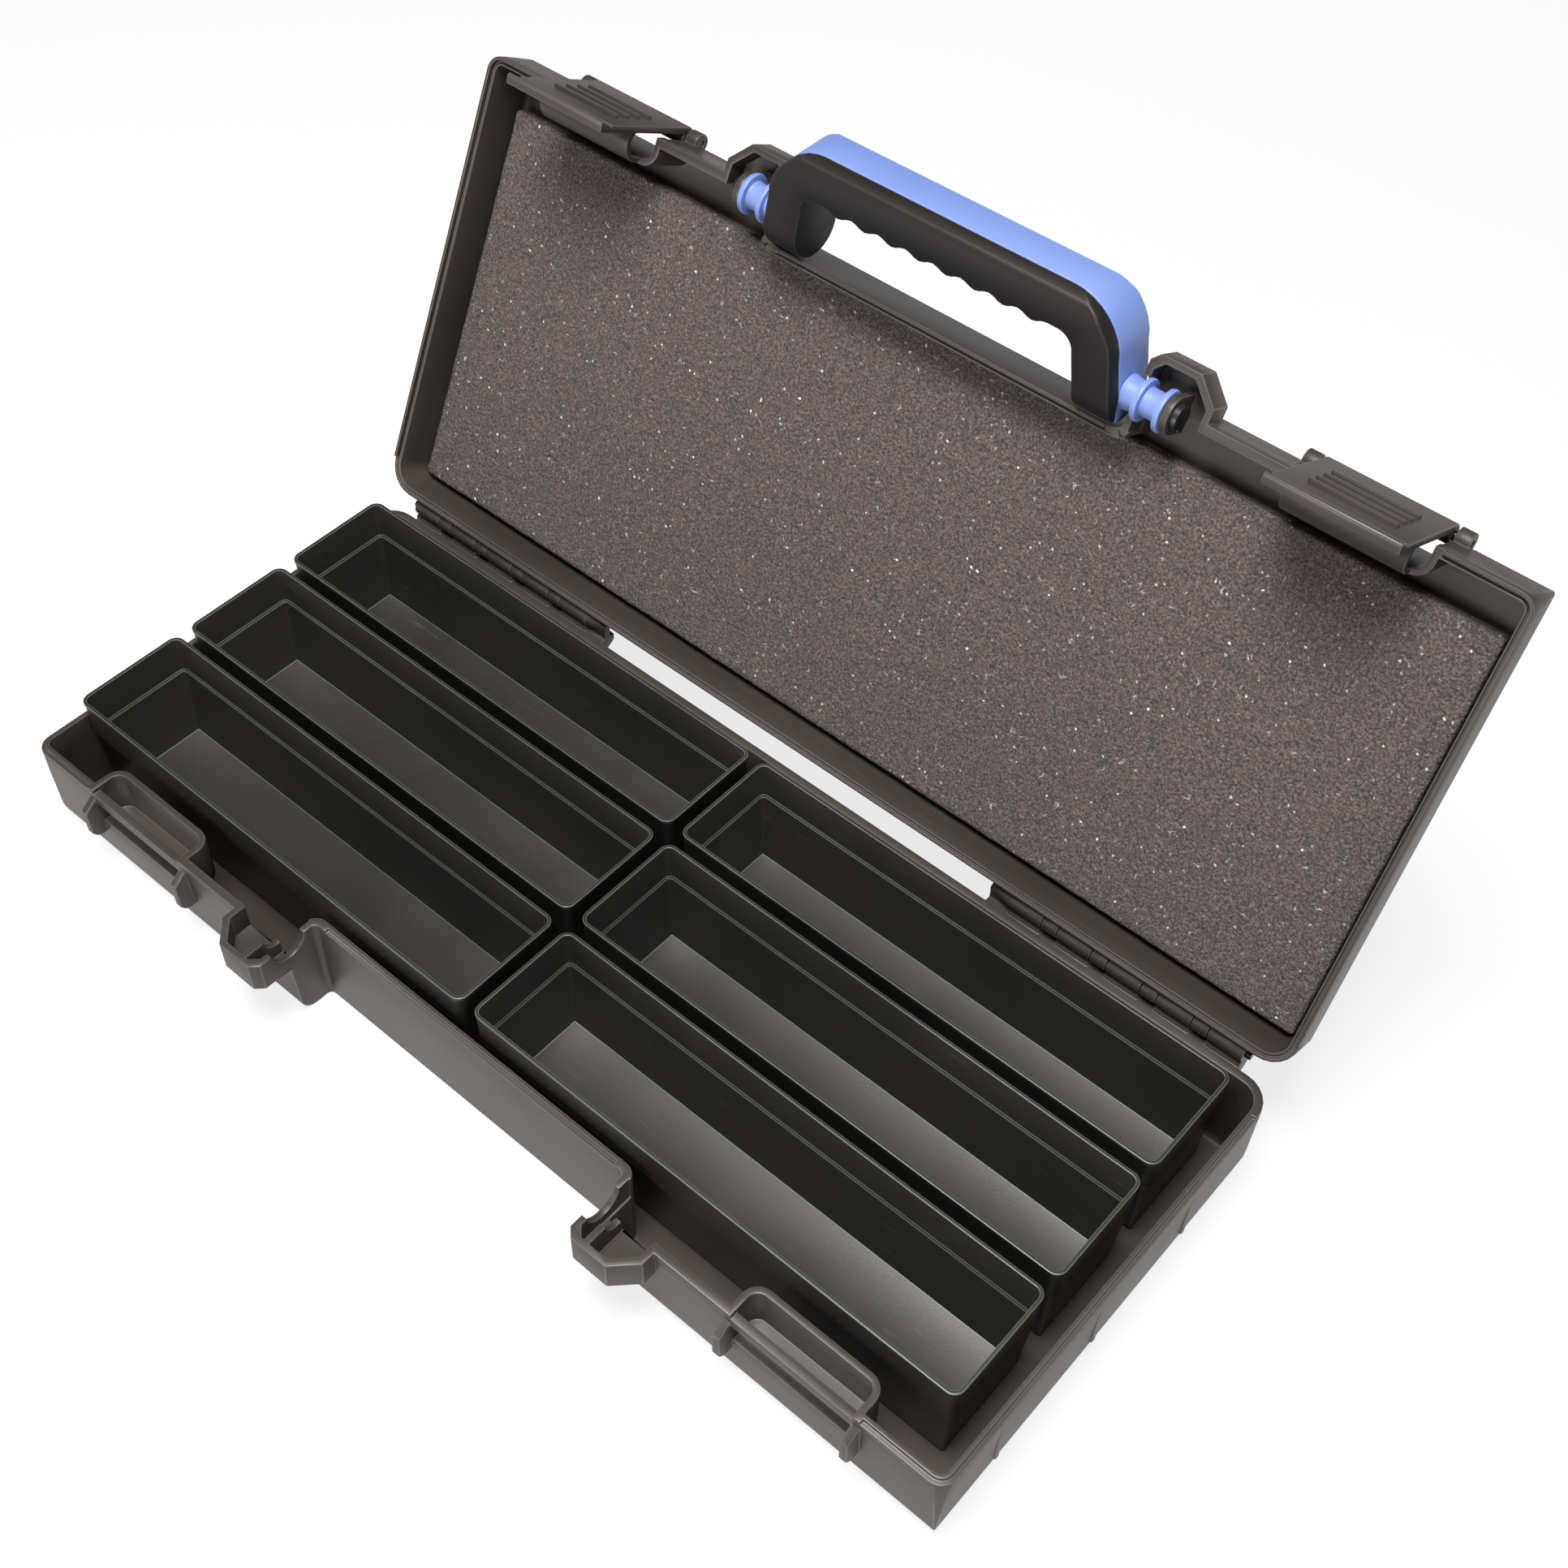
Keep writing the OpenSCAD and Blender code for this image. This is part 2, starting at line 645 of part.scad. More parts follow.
module handle_pin(side) {
    color(pin_colour) lid_place() mirrored(side) difference() {
        union() {
            x_rod(spool_x - 1.5, head_x + cut, pivot_y, pivot_z, pivot_pin_r);
            x_rod(head_x, head_x + pivot_head_t, pivot_y, pivot_z, pivot_head_r);
        }
        block(head_x + pivot_head_t - slot_d, pivot_y - web_r, pivot_z - slot_w / 2,
              head_x + pivot_head_t + 1, pivot_y + web_r, pivot_z + slot_w / 2);
    }
}

// The latch's section in Y and Z: a plate with a finger lip, closed against the front wall
function plate_points() =
    let (y = plate_y, z0 = latch_z - latch_drop, in = plate_y + latch_t)
    [[latch_y, latch_z + latch_barrel_r], [latch_y - 1.6, latch_z + latch_barrel_r - 0.4], [y, latch_z],
     [y, z0 + 6.5], [y + 0.5, z0 + 6], [y + 0.5, z0 + 5.4], [y, z0 + 4.9], [y - 1.2, z0 + 1.2], [y - 1, z0 + 0.3],
     [y - 0.2, z0], [in, z0 + 0.6], [in + 0.2, z0 + 4], [in, z0 + 6], [in, latch_z - 2], [latch_y, latch_z - 2]];

module rolled_hook(x0, x1) {
    translate([x0, hook_y, hook_z]) rotate([90, 0, 90]) linear_extrude(x1 - x0) difference() {
        circle(r = hook_r, $fn = round_fn);
        circle(r = hook_r - hook_t, $fn = round_fn);
        polygon([[0, 0], [-hook_r * 1.3, 0.6 * hook_r], [-hook_r * 1.3, 2 * hook_r], [hook_r * 1.6, 2 * hook_r],
                 [hook_r * 1.6, 0.6 * hook_r]]);
    }
}

module latch(side) {
    x0 = latch_x - latch_l / 2;
    x1 = latch_x + latch_l / 2;
    color(shell_colour) lid_place() mirrored(side) difference() {
        union() {
            x_rod(x0, x1, latch_y, latch_z, latch_barrel_r);
            x_profile(x0, x1, plate_points());
            difference() {
                rolled_hook(x0 + 1.5, x1 - 1.5);
                block(x0, plate_y - hook_r, 0, x1, plate_y + latch_t / 2, top_z);
            }
        }
        x_rod(x0 - 1, x1 + 1, latch_y, latch_z, latch_pin_r + run_gap);
    }
}

module latch_pin(side) {
    color(pin_colour) lid_place() mirrored(side)
        x_rod(pocket_x - latch_boss_l + 0.5, pocket_x + pocket_l + latch_boss_l - 0.5, latch_y, latch_z, latch_pin_r);
}

module hinge_pin(side) {
    color(pin_colour) mirrored(side)
        x_rod(hinge_x + 0.5, hinge_x + hinge_l + 2, hinge_y, hinge_z, hinge_pin_r);
}

base_shell();
lid_shell();
foam_liner();
bin(-1, -1);  // bin_front_left
bin(1, -1);  // bin_front_right
bin(-1, 0);  // bin_middle_left
bin(1, 0);  // bin_middle_right
bin(-1, 1);  // bin_rear_left
bin(1, 1);  // bin_rear_right
handle_shell();
handle_grip();
handle_pin(-1);  // handle_pin_left
handle_pin(1);  // handle_pin_right
latch(-1);  // latch_left
latch(1);  // latch_right
latch_pin(-1);  // latch_pin_left
latch_pin(1);  // latch_pin_right
hinge_pin(-1);  // hinge_pin_left
hinge_pin(1);  // hinge_pin_right
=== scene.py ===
import math
import bpy
from mathutils import Matrix, Vector


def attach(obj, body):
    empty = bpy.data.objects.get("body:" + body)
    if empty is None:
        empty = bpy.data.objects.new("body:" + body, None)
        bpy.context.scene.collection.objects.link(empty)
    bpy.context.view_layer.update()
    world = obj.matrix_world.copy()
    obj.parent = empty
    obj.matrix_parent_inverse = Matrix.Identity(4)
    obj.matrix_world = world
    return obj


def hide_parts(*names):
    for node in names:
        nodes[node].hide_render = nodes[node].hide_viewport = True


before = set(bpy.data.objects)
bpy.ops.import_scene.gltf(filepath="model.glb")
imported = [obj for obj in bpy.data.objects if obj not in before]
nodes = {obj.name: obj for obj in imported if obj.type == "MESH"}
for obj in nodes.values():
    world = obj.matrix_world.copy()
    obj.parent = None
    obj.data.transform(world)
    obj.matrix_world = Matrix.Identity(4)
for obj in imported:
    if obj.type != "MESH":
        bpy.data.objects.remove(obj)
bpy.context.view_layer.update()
print("frame loaded:", len(nodes), "nodes")


# small tools

def deselectAll():
    if bpy.context.object and bpy.context.object.mode != "OBJECT":
        bpy.ops.object.mode_set(mode="OBJECT")
    bpy.ops.object.select_all(action="DESELECT")


def pick(obj):
    deselectAll()
    obj.select_set(True)
    bpy.context.view_layer.objects.active = obj


def editMesh(obj, *steps):
    # each step is an edit-mode operator with its settings
    pick(obj)
    bpy.ops.object.mode_set(mode="EDIT")
    bpy.ops.mesh.select_all(action="SELECT")
    for operator, settings in steps:
        operator(**settings)
    bpy.ops.object.mode_set(mode="OBJECT")


def applyAll(obj):
    pick(obj)
    for modifier in list(obj.modifiers):
        bpy.ops.object.modifier_apply(modifier=modifier.name)


# lengths in metres, angles in degrees
mend = {"mergeWithin": 0.000002, "flatWithin": 0.4}
smooth = {"segments": 2, "fromAngle": 32, "cornerAngle": 50}


def copyOfNode(nodeName, pieceName):
    # the CAD mesh, merged, with its flat faces put back together and cut into well shaped triangles
    mesh = nodes[nodeName].data.copy()
    mesh.materials.clear()
    obj = bpy.data.objects.new(pieceName, mesh)
    bpy.context.scene.collection.objects.link(obj)
    pick(obj)
    bpy.ops.mesh.customdata_custom_splitnormals_clear()
    editMesh(obj,
             (bpy.ops.mesh.remove_doubles, {"threshold": mend["mergeWithin"]}),
             (bpy.ops.mesh.dissolve_limited, {"angle_limit": math.radians(mend["flatWithin"])}),
             (bpy.ops.mesh.quads_convert_to_tris, {"quad_method": "BEAUTY", "ngon_method": "BEAUTY"}))
    return obj


def addBevel(obj, width, segments, fromAngle):
    bevel = obj.modifiers.new("edges", "BEVEL")
    bevel.limit_method = "ANGLE"
    bevel.angle_limit = math.radians(fromAngle)
    bevel.width = width
    bevel.segments = segments
    return bevel


def softenEdges(obj, width):
    # the rounded edges take the piece's second material, a lighter one that paints a highlight along them
    bevel = addBevel(obj, width, smooth["segments"], smooth["fromAngle"])
    bevel.use_clamp_overlap = False
    bevel.loop_slide = False
    bevel.material = 1
    applyAll(obj)
    pick(obj)
    bpy.ops.object.shade_smooth_by_angle(angle=math.radians(smooth["fromAngle"]))


def place(obj, body, materials, replaced=()):
    for material in materials:
        obj.data.materials.append(material)
    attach(obj, body)
    if replaced:
        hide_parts(*replaced)


# the lid is drawn shut, as in the CAD, and then turned to its stop
hinge = {"place": Vector((0, 0.0905, 0.045)), "openAngle": 116}
lidTurn = (Matrix.Translation(hinge["place"])
           @ Matrix.Rotation(-math.radians(hinge["openAngle"]), 4, "X")
           @ Matrix.Translation(-hinge["place"]))


# shader groups

def newGroup(name, inputs, outputs):
    group = bpy.data.node_groups.new(name, "ShaderNodeTree")
    for socketName, kind, value in inputs:
        socket = group.interface.new_socket(socketName, in_out="INPUT", socket_type=kind)
        if value is not None:
            socket.default_value = value
    for socketName, kind in outputs:
        group.interface.new_socket(socketName, in_out="OUTPUT", socket_type=kind)
    return group, group.nodes.new("NodeGroupInput"), group.nodes.new("NodeGroupOutput")


def addNode(tree, kind, settings=None, **inputs):
    node = tree.nodes.new(kind)
    for key, value in (settings or {}).items():
        setattr(node, key, value)
    for key, value in inputs.items():
        node.inputs[key].default_value = value
    return node


def feed(tree, socket, value):
    # the value is another socket, a colour without its alpha, or a number
    if isinstance(value, bpy.types.NodeSocket):
        tree.links.new(value, socket)
    elif isinstance(value, tuple):
        socket.default_value = (*value, 1.0)
    else:
        socket.default_value = value


def mathNode(tree, operation, first, second, clamp=False):
    node = addNode(tree, "ShaderNodeMath", {"operation": operation, "use_clamp": clamp})
    feed(tree, node.inputs[0], first)
    feed(tree, node.inputs[1], second)
    return node.outputs[0]


def rangeNode(tree, value, low, high, toLow=0.0, toHigh=1.0):
    node = addNode(tree, "ShaderNodeMapRange", {"clamp": True})
    tree.links.new(value, node.inputs["Value"])
    for key, number in (("From Min", low), ("From Max", high), ("To Min", toLow), ("To Max", toHigh)):
        node.inputs[key].default_value = number
    return node.outputs["Result"]


def noiseNode(tree, vector, scale, detail=2.0, roughness=0.5):
    node = addNode(tree, "ShaderNodeTexNoise", Detail=detail, Roughness=roughness)
    tree.links.new(vector, node.inputs["Vector"])
    feed(tree, node.inputs["Scale"], scale)
    return node.outputs["Fac"]


def makeMouldGrain():
    # the fine spark texture of an injection mould, with slow waves in its gloss
    tree, given, result = newGroup(
        "mouldGrain",
        [("Vector", "NodeSocketVector", None), ("Grain Scale", "NodeSocketFloat", 1500.0),
         ("Wave Scale", "NodeSocketFloat", 14.0)],
        [("Height", "NodeSocketFloat"), ("Wave", "NodeSocketFloat")])
    grain = noiseNode(tree, given.outputs["Vector"], given.outputs["Grain Scale"], 3.0, 0.65)
    wave = noiseNode(tree, given.outputs["Vector"], given.outputs["Wave Scale"], 3.0, 0.55)
    tree.links.new(grain, result.inputs["Height"])
    tree.links.new(rangeNode(tree, wave, 0.3, 0.7), result.inputs["Wave"])
    return tree


def makeHandlingWear():
    # faint scuffs: thin stretched marks that come and go in patches
    tree, given, result = newGroup(
        "handlingWear",
        [("Vector", "NodeSocketVector", None), ("Scale", "NodeSocketFloat", 60.0),
         ("Amount", "NodeSocketFloat", 0.5)],
        [("Mask", "NodeSocketFloat")])
    turned = addNode(tree, "ShaderNodeMapping")
    turned.inputs["Rotation"].default_value = (0.3, 0.5, 0.7)
    turned.inputs["Scale"].default_value = (1.0, 9.0, 5.0)
    tree.links.new(given.outputs["Vector"], turned.inputs["Vector"])
    marks = noiseNode(tree, turned.outputs["Vector"], given.outputs["Scale"], 4.0, 0.6)
    patches = noiseNode(tree, given.outputs["Vector"], 9.0)
    thin = rangeNode(tree, marks, 0.62, 0.72)
    where = rangeNode(tree, patches, 0.45, 0.65)
    both = mathNode(tree, "MULTIPLY", thin, where)
    tree.links.new(mathNode(tree, "MULTIPLY", both, given.outputs["Amount"], True), result.inputs["Mask"])
    return tree


def makeFoamSkin():
    # crinkled cells of a closed foam, and the pale fibres that lie in its skin
    tree, given, result = newGroup(
        "foamSkin",
        [("Vector", "NodeSocketVector", None), ("Cell Scale", "NodeSocketFloat", 900.0),
         ("Fleck Scale", "NodeSocketFloat", 400.0), ("Thread Scale", "NodeSocketFloat", 520.0)],
        [("Height", "NodeSocketFloat"), ("Cells", "NodeSocketFloat"), ("Flecks", "NodeSocketFloat"),
         ("Mottle", "NodeSocketFloat")])
    # everything lies on coordinates that a finer noise bends by up to this many metres
    reach = 0.0016
    bend = addNode(tree, "ShaderNodeTexNoise", Scale=420.0, Detail=2.0)
    tree.links.new(given.outputs["Vector"], bend.inputs["Vector"])
    bent = addNode(tree, "ShaderNodeVectorMath", {"operation": "MULTIPLY_ADD"})
    bent.inputs[1].default_value = (reach, reach, reach)
    tree.links.new(bend.outputs["Color"], bent.inputs[0])
    tree.links.new(given.outputs["Vector"], bent.inputs[2])

    def cellNode(feature, scaleName):
        node = addNode(tree, "ShaderNodeTexVoronoi", {"feature": feature})
        tree.links.new(bent.outputs["Vector"], node.inputs["Vector"])
        tree.links.new(given.outputs[scaleName], node.inputs["Scale"])
        return node

    cells = cellNode("F1", "Cell Scale")
    flecks = cellNode("F1", "Fleck Scale")
    edges = cellNode("DISTANCE_TO_EDGE", "Thread Scale")
    # a round fleck in a few of the cells, and short pieces of thread along the edges of others
    spot = rangeNode(tree, flecks.outputs["Distance"], 0.12, 0.22, 1.0, 0.0)
    luck = addNode(tree, "ShaderNodeSeparateColor")
    tree.links.new(flecks.outputs["Color"], luck.inputs["Color"])
    chosen = rangeNode(tree, luck.outputs["Red"], 0.80, 0.98)
    thread = rangeNode(tree, edges.outputs["Distance"], 0.03, 0.09, 1.0, 0.0)
    patches = noiseNode(tree, given.outputs["Vector"], 340.0)
    shortPieces = mathNode(tree, "MULTIPLY", thread, rangeNode(tree, patches, 0.66, 0.74))
    threads = mathNode(tree, "MULTIPLY", shortPieces, 0.6)
    tree.links.new(cells.outputs["Distance"], result.inputs["Height"])
    tree.links.new(rangeNode(tree, cells.outputs["Distance"], 0.1, 0.7), result.inputs["Cells"])
    bright = mathNode(tree, "MAXIMUM", mathNode(tree, "MULTIPLY", spot, chosen), threads)
    tree.links.new(bright, result.inputs["Flecks"])
    mottle = noiseNode(tree, bent.outputs["Vector"], 1300.0, 3.0, 0.7)
    tree.links.new(rangeNode(tree, mottle, 0.4, 0.62), result.inputs["Mottle"])
    return tree


mouldGrain = makeMouldGrain()
handlingWear = makeHandlingWear()
foamSkin = makeFoamSkin()
print("shader groups made")


def startMaterial(name):
    material = bpy.data.materials.new(name)
    material.use_nodes = True
    tree = material.node_tree
    shader = tree.nodes["Principled BSDF"]
    where = tree.nodes.new("ShaderNodeTexCoord").outputs["Object"]
    return material, tree, shader, where


def useGroup(tree, group, where, **values):
    node = addNode(tree, "ShaderNodeGroup", {"node_tree": group}, **values)
    tree.links.new(where, node.inputs["Vector"])
    return node


def mixColour(tree, factor, first, second):
    # the factor, colour and result sockets of a mix node in its colour mode
    node = addNode(tree, "ShaderNodeMix", {"data_type": "RGBA"})
    for index, value in ((0, factor), (6, first), (7, second)):
        feed(tree, node.inputs[index], value)
    return node.outputs[2]


def bumpInto(tree, shader, height, strength, distance):
    bump = addNode(tree, "ShaderNodeBump", {}, Strength=strength, Distance=distance)
    tree.links.new(height, bump.inputs["Height"])
    tree.links.new(bump.outputs["Normal"], shader.inputs["Normal"])


moulding = {"glossLow": -0.04, "glossHigh": 0.05, "scuffRough": 0.15, "grainStrength": 0.35}


def mouldedPlastic(name, dark, light, scuff, rough, grainScale, grainDepth, wear=0.5, specular=0.5):
    # dark and light are the two ends of the slow tone in the moulding, scuff the colour of its marks
    material, tree, shader, where = startMaterial(name)
    grain = useGroup(tree, mouldGrain, where, **{"Grain Scale": grainScale})
    marks = useGroup(tree, handlingWear, where, Amount=wear)
    tone = mixColour(tree, grain.outputs["Wave"], dark, light)
    colour = mixColour(tree, marks.outputs["Mask"], tone, scuff)
    tree.links.new(colour, shader.inputs["Base Color"])
    gloss = rangeNode(tree, grain.outputs["Wave"], 0.0, 1.0,
                      rough + moulding["glossLow"], rough + moulding["glossHigh"])
    dull = mathNode(tree, "MULTIPLY", marks.outputs["Mask"], moulding["scuffRough"])
    tree.links.new(mathNode(tree, "ADD", gloss, dull), shader.inputs["Roughness"])
    shader.inputs["Specular IOR Level"].default_value = specular
    bumpInto(tree, shader, grain.outputs["Height"], moulding["grainStrength"], grainDepth)
    return material


plasticLooks = {
    "shellPlastic": {
        "dark": (0.036, 0.0300, 0.0265), "light": (0.048, 0.0400, 0.0350), "scuff": (0.09, 0.081, 0.075),
        "rough": 0.44, "grainScale": 1400.0, "grainDepth": 0.00012, "specular": 0.36},
    # painted highlight: a lighter colour on the shell's rounded edges, which still carries the scuff marks
    "shellEdgePaintedHighlight": {
        "dark": (0.060, 0.054, 0.051), "light": (0.088, 0.080, 0.075), "scuff": (0.13, 0.12, 0.112),
        "rough": 0.36, "grainScale": 1400.0, "grainDepth": 0.00006, "specular": 0.4},
    "binPlastic": {
        "dark": (0.0165, 0.016, 0.0155), "light": (0.0225, 0.0215, 0.0205), "scuff": (0.05, 0.05, 0.045),
        "rough": 0.40, "grainScale": 1800.0, "grainDepth": 0.00008},
    # painted highlight: thin light lines on the bins' rounded rim edges, which still carry the scuff marks
    "binEdgePaintedHighlight": {
        "dark": (0.085, 0.088, 0.072), "light": (0.13, 0.135, 0.11), "scuff": (0.16, 0.16, 0.135),
        "rough": 0.34, "grainScale": 1800.0, "grainDepth": 0.00004},
    "bluePlastic": {
        "dark": (0.145, 0.215, 0.50), "light": (0.170, 0.245, 0.55), "scuff": (0.28, 0.35, 0.66),
        "rough": 0.50, "grainScale": 1500.0, "grainDepth": 0.00008, "wear": 0.3},
    # painted highlight: a lighter blue on the handle's rounded edges, which still carries the scuff marks
    "blueEdgePaintedHighlight": {
        "dark": (0.18, 0.26, 0.60), "light": (0.21, 0.29, 0.66), "scuff": (0.33, 0.42, 0.74),
        "rough": 0.44, "grainScale": 1500.0, "grainDepth": 0.00005, "wear": 0.3},
    "gripRubber": {
        "dark": (0.0085, 0.0078, 0.0076), "light": (0.0125, 0.0115, 0.011), "scuff": (0.03, 0.028, 0.027),
        "rough": 0.58, "grainScale": 1700.0, "grainDepth": 0.00014, "wear": 0.4, "specular": 0.28},
    # painted highlight: a lighter rubber colour on the grip's rounded edges, which still carries the scuff
    # marks
    "gripEdgePaintedHighlight": {
        "dark": (0.017, 0.0155, 0.015), "light": (0.024, 0.022, 0.021), "scuff": (0.045, 0.042, 0.04),
        "rough": 0.50, "grainScale": 1700.0, "grainDepth": 0.00008, "wear": 0.4, "specular": 0.35},
    "pinPlastic": {
        "dark": (0.010, 0.010, 0.011), "light": (0.016, 0.016, 0.017), "scuff": (0.05, 0.05, 0.05),
        "rough": 0.30, "grainScale": 1600.0, "grainDepth": 0.00004, "wear": 0.6}}
plastic = {name: mouldedPlastic(name, **look) for name, look in plasticLooks.items()}

foamLook = {"dark": (0.036, 0.029, 0.028), "light": (0.175, 0.144, 0.138), "cell": (0.040, 0.032, 0.031),
            "cellShare": 0.5, "fleck": (0.66, 0.62, 0.61), "rough": 0.82, "fleckRough": 0.5,
            "specular": 0.3, "grainStrength": 0.6, "grainDepth": 0.0006}


def makeFoamMaterial():
    material, tree, shader, where = startMaterial("foamSheet")
    skin = useGroup(tree, foamSkin, where)
    flecks = skin.outputs["Flecks"]
    grey = mixColour(tree, skin.outputs["Mottle"], foamLook["dark"], foamLook["light"])
    cells = mathNode(tree, "MULTIPLY", skin.outputs["Cells"], foamLook["cellShare"])
    flecked = mixColour(tree, flecks, mixColour(tree, cells, grey, foamLook["cell"]), foamLook["fleck"])
    tree.links.new(flecked, shader.inputs["Base Color"])
    gloss = rangeNode(tree, flecks, 0.0, 1.0, foamLook["rough"], foamLook["fleckRough"])
    tree.links.new(gloss, shader.inputs["Roughness"])
    shader.inputs["Specular IOR Level"].default_value = foamLook["specular"]
    bumpInto(tree, shader, skin.outputs["Height"], foamLook["grainStrength"], foamLook["grainDepth"])
    return material


foamMaterial = makeFoamMaterial()
print("materials made")


# shells

shell = {"edge": 0.00035}
for nodeName, body in (("base_shell", "base"), ("lid_shell", "lid")):
    piece = copyOfNode(nodeName, nodeName + "_moulded")
    place(piece, body, (plastic["shellPlastic"], plastic["shellEdgePaintedHighlight"]), (nodeName,))
    softenEdges(piece, shell["edge"])
print("shells made")


# bins

bins = {"edge": 0.00022}
for row in ("front", "middle", "rear"):
    for side in ("left", "right"):
        nodeName = "bin_" + row + "_" + side
        piece = copyOfNode(nodeName, nodeName + "_moulded")
        place(piece, nodeName, (plastic["binPlastic"], plastic["binEdgePaintedHighlight"]), (nodeName,))
        softenEdges(piece, bins["edge"])
print("bins made")


# foam sheet, drawn flat in the shut lid and turned with it

foam = {"length": 0.4084, "thick": 0.0074, "frontY": -0.0689, "backY": 0.0812, "top": 0.0596,
        "cell": 0.0022, "edgeRound": 0.0014, "edgeSegments": 3, "swell": 0.00045, "swellScale": 0.006,
        "swellDetail": 3}


def makeFoam():
    # swell is the height of the crinkles, so the sheet starts that much smaller than the CAD's
    depth = foam["backY"] - foam["frontY"]
    size = (foam["length"] - 2 * foam["swell"], depth - 2 * foam["swell"], 1)
    middle = (0, (foam["backY"] + foam["frontY"]) / 2, foam["top"] - foam["thick"] + foam["swell"])
    deselectAll()
    bpy.ops.mesh.primitive_grid_add(x_subdivisions=round(foam["length"] / foam["cell"]),
                                    y_subdivisions=round(depth / foam["cell"]), size=1)
    sheet = bpy.context.object
    sheet.name = "foam_sheet"
    editMesh(sheet,
             (bpy.ops.transform.resize, {"value": size}),
             (bpy.ops.transform.translate, {"value": middle}))
    cloudy = bpy.data.textures.new("foamCrinkle", "CLOUDS")
    cloudy.noise_scale = foam["swellScale"]
    cloudy.noise_depth = foam["swellDetail"]
    thick = sheet.modifiers.new("thick", "SOLIDIFY")
    thick.thickness = foam["thick"] - 2 * foam["swell"]
    thick.offset = 1
    addBevel(sheet, foam["edgeRound"], foam["edgeSegments"], smooth["cornerAngle"])
    crinkle = sheet.modifiers.new("crinkle", "DISPLACE")
    crinkle.texture = cloudy
    crinkle.texture_coords = "LOCAL"
    crinkle.mid_level = 0.5
    crinkle.strength = foam["swell"]
    applyAll(sheet)
    sheet.data.transform(lidTurn)
    pick(sheet)
    bpy.ops.object.shade_smooth()
    place(sheet, "lid", (foamMaterial,), ("foam_liner",))


makeFoam()
print("foam made")


# latches: the plates carry plain grip ribs

latch = {"edge": 0.0004, "ribs": 4, "ribLength": 0.030, "ribWidth": 0.0022, "ribPitch": 0.006,
         "ribHeight": 0.0009, "ribEdge": 0.0003, "ribSides": 24,
         "plateY": -0.0903, "middleX": 0.1525, "middleZ": 0.036}


def makeRib(x, z):
    # a low bar with rounded ends that stands on the plate
    deselectAll()
    bpy.ops.mesh.primitive_cylinder_add(vertices=latch["ribSides"], radius=latch["ribWidth"] / 2,
                                        depth=2 * latch["ribHeight"], location=(0, 0, 0),
                                        rotation=(math.radians(90), 0, 0))
    rib = bpy.context.object
    bpy.ops.object.transform_apply(location=False, rotation=True, scale=False)
    stretch = latch["ribLength"] / 2 - latch["ribWidth"] / 2
    for vertex in rib.data.vertices:
        vertex.co.x += stretch if vertex.co.x > 0 else -stretch
    rib.data.update()
    addBevel(rib, latch["ribEdge"], smooth["segments"], smooth["cornerAngle"])
    applyAll(rib)
    rib.data.transform(Matrix.Translation((x, latch["plateY"], z)))
    rib.data.transform(lidTurn)
    rib.data.materials.append(plastic["shellPlastic"])
    return rib


for side, sign in (("left", -1), ("right", 1)):
    piece = copyOfNode("latch_" + side, "latch_" + side + "_plate")
    for material in (plastic["shellPlastic"], plastic["shellEdgePaintedHighlight"]):
        piece.data.materials.append(material)
    softenEdges(piece, latch["edge"])
    lowest = latch["middleZ"] - latch["ribPitch"] * (latch["ribs"] - 1) / 2
    ribs = [makeRib(sign * latch["middleX"], lowest + i * latch["ribPitch"]) for i in range(latch["ribs"])]
    pick(piece)
    for rib in ribs:
        rib.select_set(True)
    bpy.ops.object.join()
    bpy.ops.object.shade_smooth_by_angle(angle=math.radians(smooth["fromAngle"]))
    place(piece, "latch_" + side, (), ("latch_" + side,))
print("latches made")


# handle

handle = {"edge": 0.0005, "gripEdgePaintedHighlight": 0.0006}
piece = copyOfNode("handle_shell", "handle_bow")
place(piece, "handle", (plastic["bluePlastic"], plastic["blueEdgePaintedHighlight"]), ("handle_shell",))
softenEdges(piece, handle["edge"])
piece = copyOfNode("handle_grip", "handle_soft_grip")
place(piece, "handle", (plastic["gripRubber"], plastic["gripEdgePaintedHighlight"]), ("handle_grip",))
softenEdges(piece, handle["gripEdgePaintedHighlight"])
print("handle made")


# pins keep their CAD shape

for nodeName, obj in nodes.items():
    if "_pin_" in nodeName:
        obj.data.materials.clear()
        obj.data.materials.append(plastic["pinPlastic"])
print("pins finished")


# floor, lamps and camera; the floor glows a little towards the camera, so that it comes out nearly white

room = {"floorSize": 14, "floorDrop": 0.0002, "floorTone": 3.0, "floorDark": (0.80, 0.80, 0.80),
        "floorLight": (0.84, 0.84, 0.84), "floorRough": 0.7, "floorGlow": 0.80,
        "fill": 0.09, "backdrop": 1.0}
lamps = {
    "topLamp": {"position": (0.12, -0.28, 1.7), "size": 0.7, "power": 46.0, "colour": (1.0, 0.985, 0.965)},
    "frontLamp": {"position": (-0.4, -1.4, 0.32), "size": 0.8, "power": 11.0, "colour": (1.0, 0.975, 0.95)},
    "sideLamp": {"position": (1.3, -0.3, 0.6), "size": 0.7, "power": 3.0, "colour": (1.0, 1.0, 1.0)}}
lampTarget = Vector((0, 0.02, 0.06))


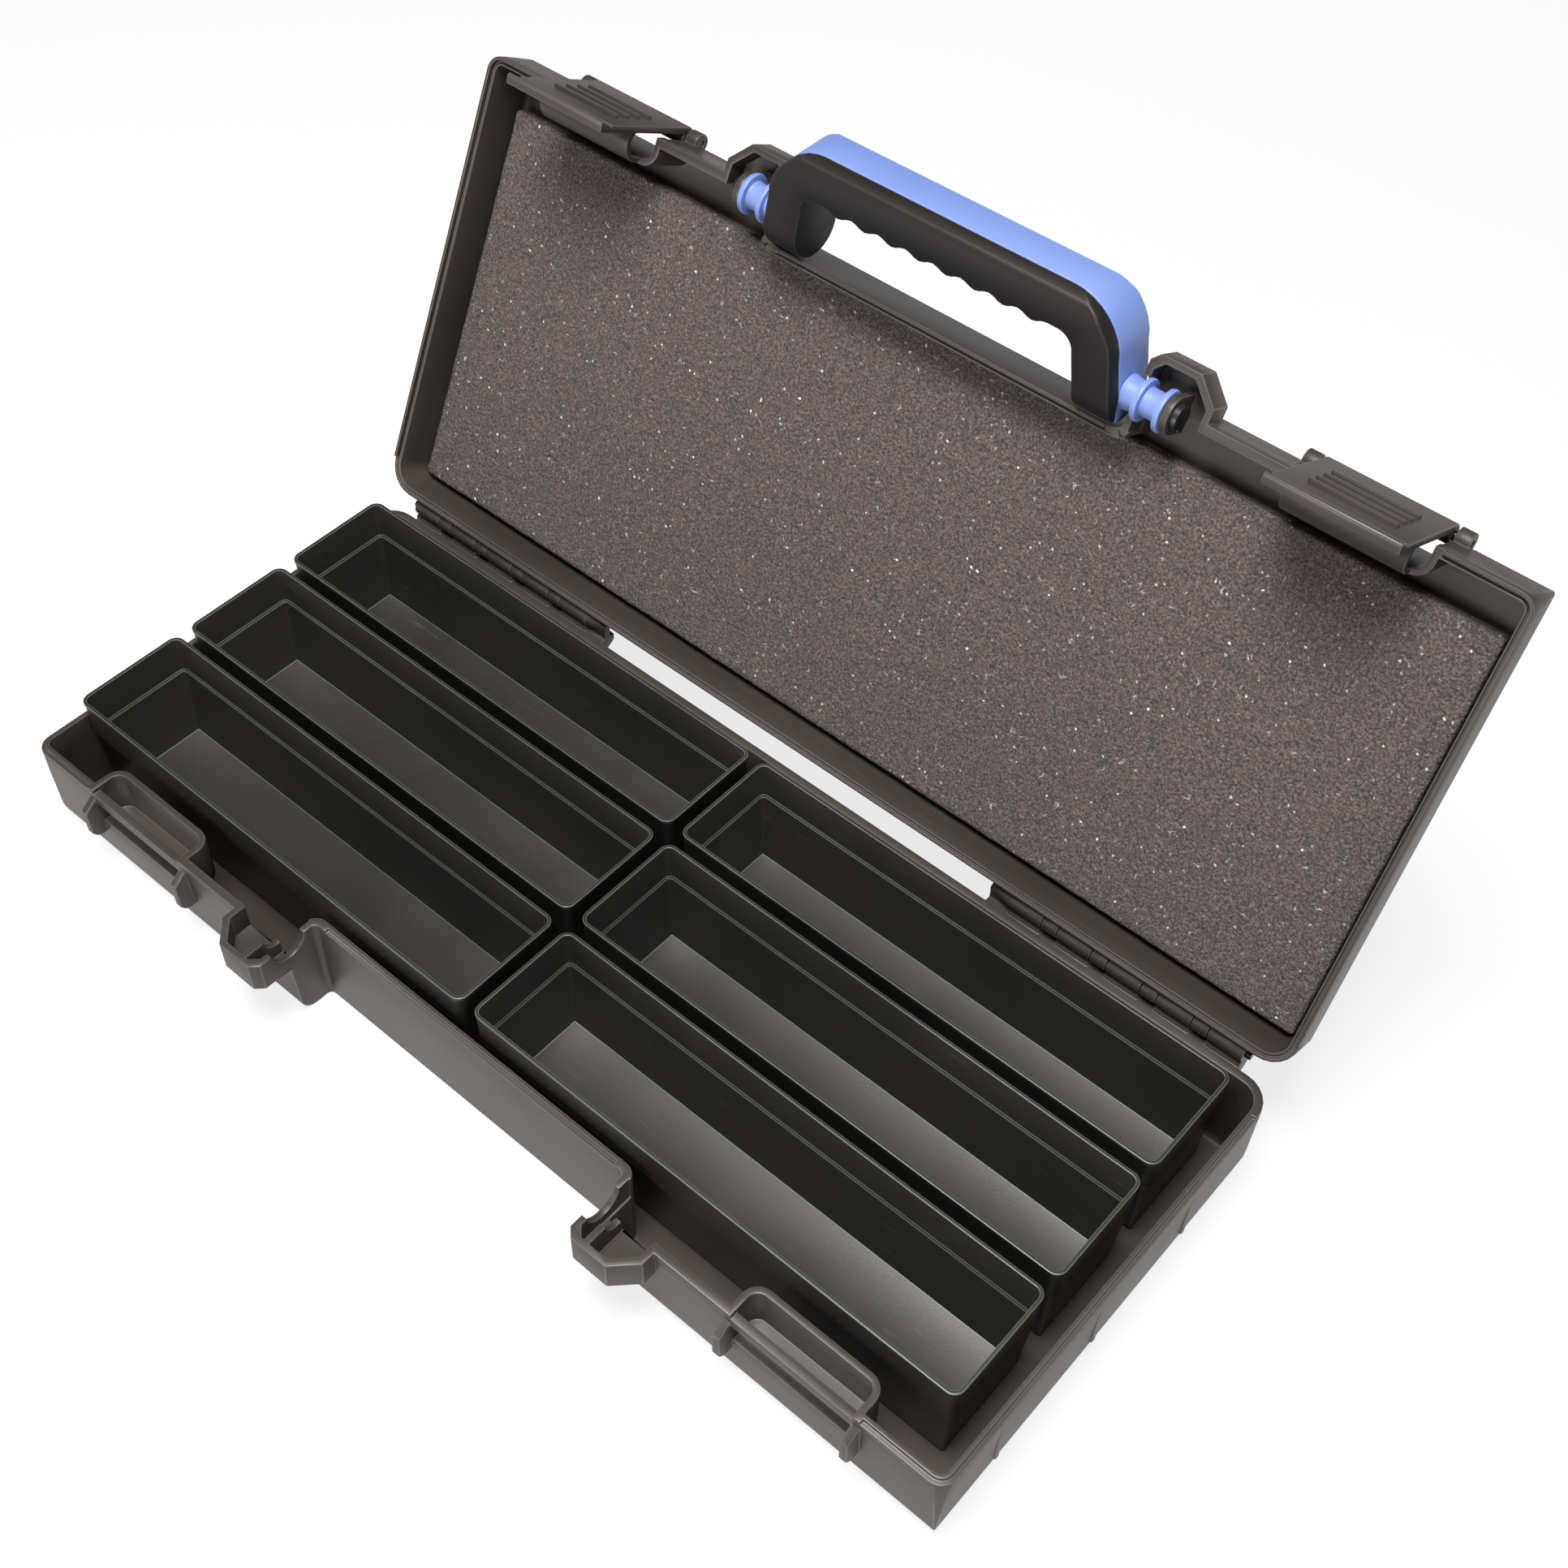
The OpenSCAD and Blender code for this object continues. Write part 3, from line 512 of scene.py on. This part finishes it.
def makeFloor():
    deselectAll()
    bpy.ops.mesh.primitive_plane_add(size=room["floorSize"], location=(0, 0, -room["floorDrop"]))
    floor = bpy.context.object
    floor.name = "floor"
    material, tree, shader, where = startMaterial("paleFloor")
    tone = noiseNode(tree, where, room["floorTone"])
    colour = mixColour(tree, tone, room["floorDark"], room["floorLight"])
    tree.links.new(colour, shader.inputs["Base Color"])
    shader.inputs["Roughness"].default_value = room["floorRough"]
    glow = addNode(tree, "ShaderNodeEmission", Strength=1.0)
    path = tree.nodes.new("ShaderNodeLightPath")
    seen = mathNode(tree, "MAXIMUM", path.outputs["Is Camera Ray"], path.outputs["Is Glossy Ray"])
    seen = mathNode(tree, "MAXIMUM", seen, path.outputs["Is Transmission Ray"])
    share = mathNode(tree, "MULTIPLY", seen, room["floorGlow"])
    mix = tree.nodes.new("ShaderNodeMixShader")
    tree.links.new(share, mix.inputs[0])
    tree.links.new(shader.outputs[0], mix.inputs[1])
    tree.links.new(glow.outputs[0], mix.inputs[2])
    tree.links.new(mix.outputs[0], tree.nodes["Material Output"].inputs["Surface"])
    floor.data.materials.append(material)


def makeLamp(name, position, size, power, colour):
    data = bpy.data.lights.new(name, "AREA")
    data.shape = "SQUARE"
    data.size = size
    data.energy = power
    data.color = colour
    lamp = bpy.data.objects.new(name, data)
    bpy.context.scene.collection.objects.link(lamp)
    lamp.location = position
    lamp.rotation_euler = (Vector(position) - lampTarget).to_track_quat("Z", "Y").to_euler()


def makeWorld():
    world = bpy.context.scene.world or bpy.data.worlds.new("softRoom")
    bpy.context.scene.world = world
    world.use_nodes = True
    tree = world.node_tree
    background = tree.nodes["Background"]
    path = tree.nodes.new("ShaderNodeLightPath")
    background.inputs["Color"].default_value = (1.0, 1.0, 1.0, 1.0)
    strength = rangeNode(tree, path.outputs["Is Camera Ray"], 0.0, 1.0, room["fill"], room["backdrop"])
    tree.links.new(strength, background.inputs["Strength"])


makeFloor()
makeWorld()
for name, settings in lamps.items():
    makeLamp(name, **settings)
print("floor, lamps and world made")

# the place and turn of the photograph's camera, x right, y down, z ahead
view = {"location": (0.314356, -0.295122, 0.616662), "turn": (2.30575756, 0.86732241, -0.28982685),
        "lens": 47.97, "sensor": 36.0, "near": 0.01}
turnAxis = Vector(view["turn"])
toCamera = Matrix.Rotation(turnAxis.length, 3, turnAxis.normalized())
cameraData = bpy.data.cameras.new("camera")
cameraData.sensor_width = view["sensor"]
cameraData.sensor_fit = "HORIZONTAL"
cameraData.lens = view["lens"]
cameraData.clip_start = view["near"]
camera = bpy.data.objects.new("camera", cameraData)
bpy.context.scene.collection.objects.link(camera)
turned = toCamera.transposed() @ Matrix.Diagonal((1, -1, -1))
camera.matrix_world = Matrix.Translation(view["location"]) @ turned.to_4x4()
bpy.context.scene.camera = camera
bpy.context.scene.view_settings.view_transform = "Standard"
print("camera placed")
